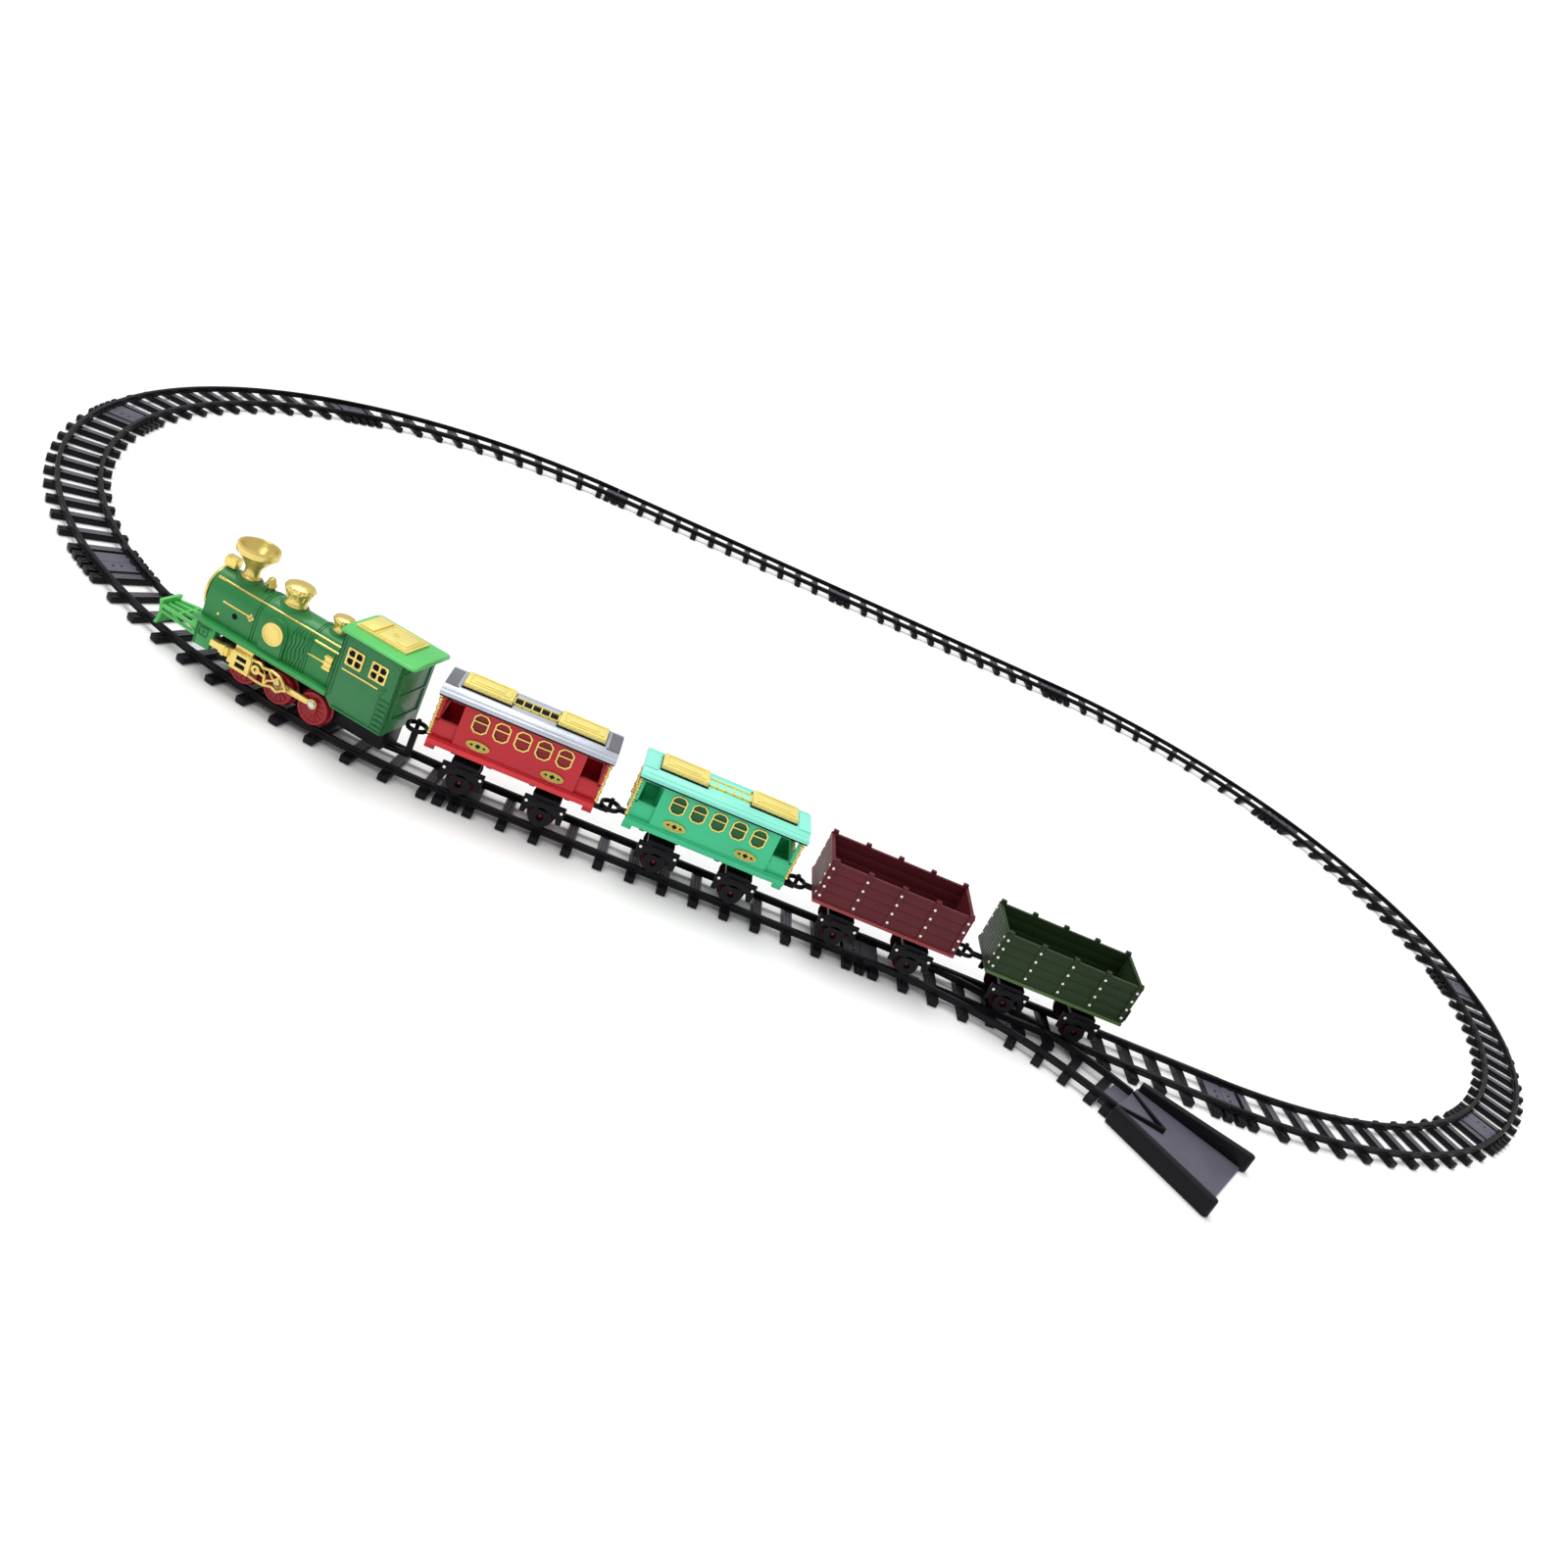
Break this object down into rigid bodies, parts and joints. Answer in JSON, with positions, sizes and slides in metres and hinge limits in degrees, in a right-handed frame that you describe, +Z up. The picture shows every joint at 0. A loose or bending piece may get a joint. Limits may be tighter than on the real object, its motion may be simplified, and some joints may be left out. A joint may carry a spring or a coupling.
{
  "type": "toy train set",
  "caption": "Toy train set: clip-together oval track with a turnout and rerailing ramp, a steam engine, passenger coaches and open wagons.",
  "frame": {"origin": "middle of the whole set's footprint, on the floor under the track", "axes": "+X along the straight track towards the turnout's end, +Z up, the train stands on the -Y side"},
  "size_m": [1.0856, 0.7376, 0.0708],
  "materials": {
    "track_plastic": "satin moulded",
    "ramp_plastic": "satin moulded",
    "loco_green": "glossy moulded",
    "trim_green": "glossy moulded",
    "gold_plastic": "metallised gold",
    "black_plastic": "satin moulded",
    "wheel_red": "glossy moulded",
    "wagon_wheel_red": "glossy moulded",
    "coach_red": "glossy moulded",
    "roof_silver": "silver paint",
    "coach_teal": "glossy moulded",
    "roof_aqua": "glossy moulded",
    "gondola_maroon": "satin moulded",
    "gondola_green": "satin moulded",
    "motor_steel": "plated can",
    "cell_case": "plain metal case"
  },
  "bodies": {
    "track": {"curve_track_1": "track_plastic", "curve_track_2": "track_plastic", "curve_track_3": "track_plastic", "curve_track_4": "track_plastic", "curve_track_5": "track_plastic", "curve_track_6": "track_plastic", "curve_track_7": "track_plastic", "curve_track_8": "track_plastic", "straight_track_1": "track_plastic", "straight_track_2": "track_plastic", "straight_track_3": "track_plastic", "turnout_track": "track_plastic", "rerailer_ramp": "ramp_plastic"},
    "locomotive": {"loco_body_shell": "loco_green", "cab_roof": "trim_green", "roof_hatch": "gold_plastic", "running_board": "trim_green", "cowcatcher": "trim_green", "smokestack": "gold_plastic", "steam_dome": "gold_plastic", "sand_dome": "gold_plastic", "bell": "gold_plastic", "headlamp": "gold_plastic", "loco_chassis": "black_plastic", "drive_motor": "motor_steel", "front_battery_cell": "cell_case", "rear_battery_cell": "cell_case", "left_cylinder": "gold_plastic", "right_cylinder": "gold_plastic"},
    "switch_slider": {"power_switch": "black_plastic"},
    "loco_drawbar": {"drawbar": "black_plastic"},
    "front_drivers": {"front_driving_wheels": "wheel_red"},
    "middle_drivers": {"middle_driving_wheels": "wheel_red"},
    "rear_drivers": {"rear_driving_wheels": "wheel_red"},
    "left_rod": {"left_side_rod": "gold_plastic"},
    "right_rod": {"right_side_rod": "gold_plastic"},
    "red_coach": {"red_coach_body": "coach_red", "red_coach_roof": "roof_silver", "red_coach_roof_vents": "gold_plastic"},
    "red_front_truck": {"red_front_truck": "black_plastic"},
    "red_front_wheels": {"red_front_wheelset": "wagon_wheel_red"},
    "red_rear_truck": {"red_rear_truck": "black_plastic"},
    "red_rear_wheels": {"red_rear_wheelset": "wagon_wheel_red"},
    "teal_coach": {"teal_coach_body": "coach_teal", "teal_coach_roof": "roof_aqua", "teal_coach_roof_vents": "gold_plastic"},
    "teal_front_truck": {"teal_front_truck": "black_plastic"},
    "teal_front_wheels": {"teal_front_wheelset": "wagon_wheel_red"},
    "teal_rear_truck": {"teal_rear_truck": "black_plastic"},
    "teal_rear_wheels": {"teal_rear_wheelset": "wagon_wheel_red"},
    "maroon_gondola": {"maroon_gondola_body": "gondola_maroon"},
    "maroon_front_truck": {"maroon_front_truck": "black_plastic"},
    "maroon_front_wheels": {"maroon_front_wheelset": "wagon_wheel_red"},
    "maroon_rear_truck": {"maroon_rear_truck": "black_plastic"},
    "maroon_rear_wheels": {"maroon_rear_wheelset": "wagon_wheel_red"},
    "green_gondola": {"green_gondola_body": "gondola_green"},
    "green_front_truck": {"green_front_truck": "black_plastic"},
    "green_front_wheels": {"green_front_wheelset": "wagon_wheel_red"},
    "green_rear_truck": {"green_rear_truck": "black_plastic"},
    "green_rear_wheels": {"green_rear_wheelset": "wagon_wheel_red"}
  },
  "joints": [
    {"name": "train_run", "type": "hinge", "parent": "track", "child": "locomotive", "pos_m": [-0.22, 0.04597, 0], "axis": [0, 0, -1], "range_deg": [-11.2, 1.5]},
    {"name": "switch_slide", "type": "slide", "parent": "locomotive", "child": "switch_slider", "axis": [-0.95, 0.3123, 0], "range_m": [-0.003, 0.003]},
    {"name": "drawbar_swing", "type": "hinge", "parent": "locomotive", "child": "loco_drawbar", "pos_m": [-0.26765, -0.25905, 0.0109], "axis": [0, 0, 1], "range_deg": [-1, 4]},
    {"name": "front_drivers_turn", "type": "hinge", "parent": "locomotive", "child": "front_drivers", "pos_m": [-0.33463, -0.23703, 0.0157], "axis": [-0.3123, -0.95, 0], "continuous": true},
    {"name": "middle_drivers_turn", "type": "hinge", "parent": "locomotive", "child": "middle_drivers", "pos_m": [-0.31515, -0.24344, 0.0157], "axis": [-0.3123, -0.95, 0], "continuous": true},
    {"name": "rear_drivers_turn", "type": "hinge", "parent": "locomotive", "child": "rear_drivers", "pos_m": [-0.29568, -0.24984, 0.0157], "axis": [-0.3123, -0.95, 0], "continuous": true},
    {"name": "left_rod_swing", "type": "hinge", "parent": "rear_drivers", "child": "left_rod", "pos_m": [-0.30005, -0.26314, 0.0187], "axis": [-0.3123, -0.95, 0], "continuous": true},
    {"name": "right_rod_swing", "type": "hinge", "parent": "rear_drivers", "child": "right_rod", "pos_m": [-0.29131, -0.23654, 0.0187], "axis": [-0.3123, -0.95, 0], "continuous": true},
    {"name": "red_wagon_run", "type": "slide", "parent": "track", "child": "red_coach", "axis": [-1, 0, 0], "range_m": [-0.0605, 0.009]},
    {"name": "red_front_swivel", "type": "hinge", "parent": "red_coach", "child": "red_front_truck", "pos_m": [-0.2216, -0.25903, 0.026], "axis": [0, 0, 1], "range_deg": [-3, 3]},
    {"name": "red_front_wheels_turn", "type": "hinge", "parent": "red_front_truck", "child": "red_front_wheels", "pos_m": [-0.2216, -0.25903, 0.0137], "axis": [0, -1, 0], "continuous": true},
    {"name": "red_rear_swivel", "type": "hinge", "parent": "red_coach", "child": "red_rear_truck", "pos_m": [-0.1796, -0.25903, 0.026], "axis": [0, 0, 1], "range_deg": [-5, 5]},
    {"name": "red_rear_wheels_turn", "type": "hinge", "parent": "red_rear_truck", "child": "red_rear_wheels", "pos_m": [-0.1796, -0.25903, 0.0137], "axis": [0, -1, 0], "continuous": true},
    {"name": "teal_wagon_run", "type": "slide", "parent": "track", "child": "teal_coach", "axis": [-1, 0, 0], "range_m": [-0.0605, 0.009]},
    {"name": "teal_front_swivel", "type": "hinge", "parent": "teal_coach", "child": "teal_front_truck", "pos_m": [-0.1196, -0.25903, 0.026], "axis": [0, 0, 1], "range_deg": [-5, 5]},
    {"name": "teal_front_wheels_turn", "type": "hinge", "parent": "teal_front_truck", "child": "teal_front_wheels", "pos_m": [-0.1196, -0.25903, 0.0137], "axis": [0, -1, 0], "continuous": true},
    {"name": "teal_rear_swivel", "type": "hinge", "parent": "teal_coach", "child": "teal_rear_truck", "pos_m": [-0.0776, -0.25903, 0.026], "axis": [0, 0, 1], "range_deg": [-5, 5]},
    {"name": "teal_rear_wheels_turn", "type": "hinge", "parent": "teal_rear_truck", "child": "teal_rear_wheels", "pos_m": [-0.0776, -0.25903, 0.0137], "axis": [0, -1, 0], "continuous": true},
    {"name": "maroon_wagon_run", "type": "slide", "parent": "track", "child": "maroon_gondola", "axis": [-1, 0, 0], "range_m": [-0.0605, 0.009]},
    {"name": "maroon_front_swivel", "type": "hinge", "parent": "maroon_gondola", "child": "maroon_front_truck", "pos_m": [-0.021, -0.25903, 0.026], "axis": [0, 0, 1], "range_deg": [-5, 5]},
    {"name": "maroon_front_wheels_turn", "type": "hinge", "parent": "maroon_front_truck", "child": "maroon_front_wheels", "pos_m": [-0.021, -0.25903, 0.0137], "axis": [0, -1, 0], "continuous": true},
    {"name": "maroon_rear_swivel", "type": "hinge", "parent": "maroon_gondola", "child": "maroon_rear_truck", "pos_m": [0.021, -0.25903, 0.026], "axis": [0, 0, 1], "range_deg": [-5, 5]},
    {"name": "maroon_rear_wheels_turn", "type": "hinge", "parent": "maroon_rear_truck", "child": "maroon_rear_wheels", "pos_m": [0.021, -0.25903, 0.0137], "axis": [0, -1, 0], "continuous": true},
    {"name": "green_wagon_run", "type": "slide", "parent": "track", "child": "green_gondola", "axis": [-1, 0, 0], "range_m": [-0.0605, 0.009]},
    {"name": "green_front_swivel", "type": "hinge", "parent": "green_gondola", "child": "green_front_truck", "pos_m": [0.0766, -0.25903, 0.026], "axis": [0, 0, 1], "range_deg": [-5, 5]},
    {"name": "green_front_wheels_turn", "type": "hinge", "parent": "green_front_truck", "child": "green_front_wheels", "pos_m": [0.0766, -0.25903, 0.0137], "axis": [0, -1, 0], "continuous": true},
    {"name": "green_rear_swivel", "type": "hinge", "parent": "green_gondola", "child": "green_rear_truck", "pos_m": [0.1186, -0.25903, 0.026], "axis": [0, 0, 1], "range_deg": [-6, 6]},
    {"name": "green_rear_wheels_turn", "type": "hinge", "parent": "green_rear_truck", "child": "green_rear_wheels", "pos_m": [0.1186, -0.25903, 0.0137], "axis": [0, -1, 0], "continuous": true}
  ],
  "couplings": [
    {"joint": "drawbar_swing", "follows": "train_run", "ratio": -0.3},
    {"joint": "front_drivers_turn", "follows": "train_run", "ratio": 35.841},
    {"joint": "middle_drivers_turn", "follows": "train_run", "ratio": 35.841},
    {"joint": "rear_drivers_turn", "follows": "train_run", "ratio": 35.841},
    {"joint": "left_rod_swing", "follows": "train_run", "ratio": -35.841},
    {"joint": "right_rod_swing", "follows": "train_run", "ratio": -35.841},
    {"joint": "red_wagon_run", "follows": "train_run", "m_per_rad": 0.305},
    {"joint": "red_front_wheels_turn", "follows": "train_run", "ratio": 46.923},
    {"joint": "red_rear_wheels_turn", "follows": "train_run", "ratio": 46.923},
    {"joint": "teal_wagon_run", "follows": "train_run", "m_per_rad": 0.305},
    {"joint": "teal_front_wheels_turn", "follows": "train_run", "ratio": 46.923},
    {"joint": "teal_rear_wheels_turn", "follows": "train_run", "ratio": 46.923},
    {"joint": "maroon_wagon_run", "follows": "train_run", "m_per_rad": 0.305},
    {"joint": "maroon_front_wheels_turn", "follows": "train_run", "ratio": 46.923},
    {"joint": "maroon_rear_wheels_turn", "follows": "train_run", "ratio": 46.923},
    {"joint": "green_wagon_run", "follows": "train_run", "m_per_rad": 0.305},
    {"joint": "green_front_wheels_turn", "follows": "train_run", "ratio": 46.923},
    {"joint": "green_rear_wheels_turn", "follows": "train_run", "ratio": 46.923},
    {"joint": "teal_front_swivel", "follows": "red_rear_swivel", "ratio": -1},
    {"joint": "maroon_front_swivel", "follows": "teal_rear_swivel", "ratio": -1},
    {"joint": "green_front_swivel", "follows": "maroon_rear_swivel", "ratio": -1}
  ]
}
